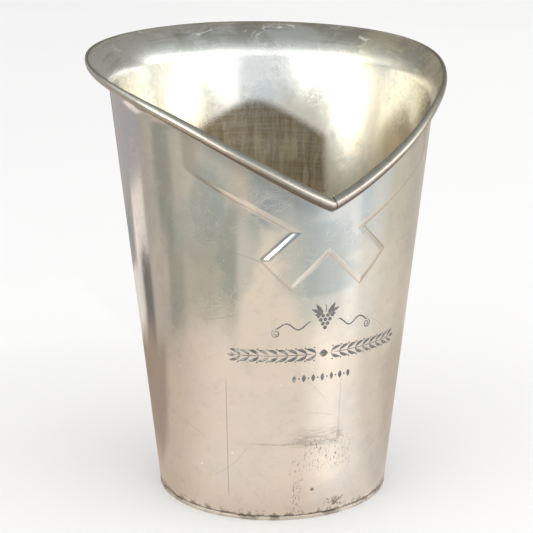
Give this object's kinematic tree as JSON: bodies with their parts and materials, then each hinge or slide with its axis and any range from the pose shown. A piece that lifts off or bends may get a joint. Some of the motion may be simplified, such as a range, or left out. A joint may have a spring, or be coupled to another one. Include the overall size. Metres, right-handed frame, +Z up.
{
  "type": "champagne bucket",
  "caption": "Tapered sheet-metal wine bucket for one bottle, with a flared lip that drops to a V at the front and crossed bands pressed into its wall.",
  "frame": {"origin": "centre of the base's flat underside, where the bucket rests", "axes": "+Z up along the wall's cone; the V in the lip faces -Y; +X is to the right of someone who faces the V"},
  "size_m": [0.1916, 0.1849, 0.24],
  "materials": {
    "silver_plate": "worn silver plate: soft mirror with fine hand scratches, pits and warm tarnish",
    "silver_plate_rim": "silver plate rubbed bright on top, tarnished underneath",
    "silver_plate_base": "silver plate worn and darkened by standing in wet trays",
    "solder": "dull grey soft solder",
    "engraving_fill": "dark fill rubbed into a fine engraved ornament"
  },
  "bodies": {
    "root": {"bucket_wall": "silver_plate", "rim_moulding": "silver_plate_rim", "base_disc": "silver_plate_base", "base_solder_fillet": "solder"}
  },
  "joints": []
}
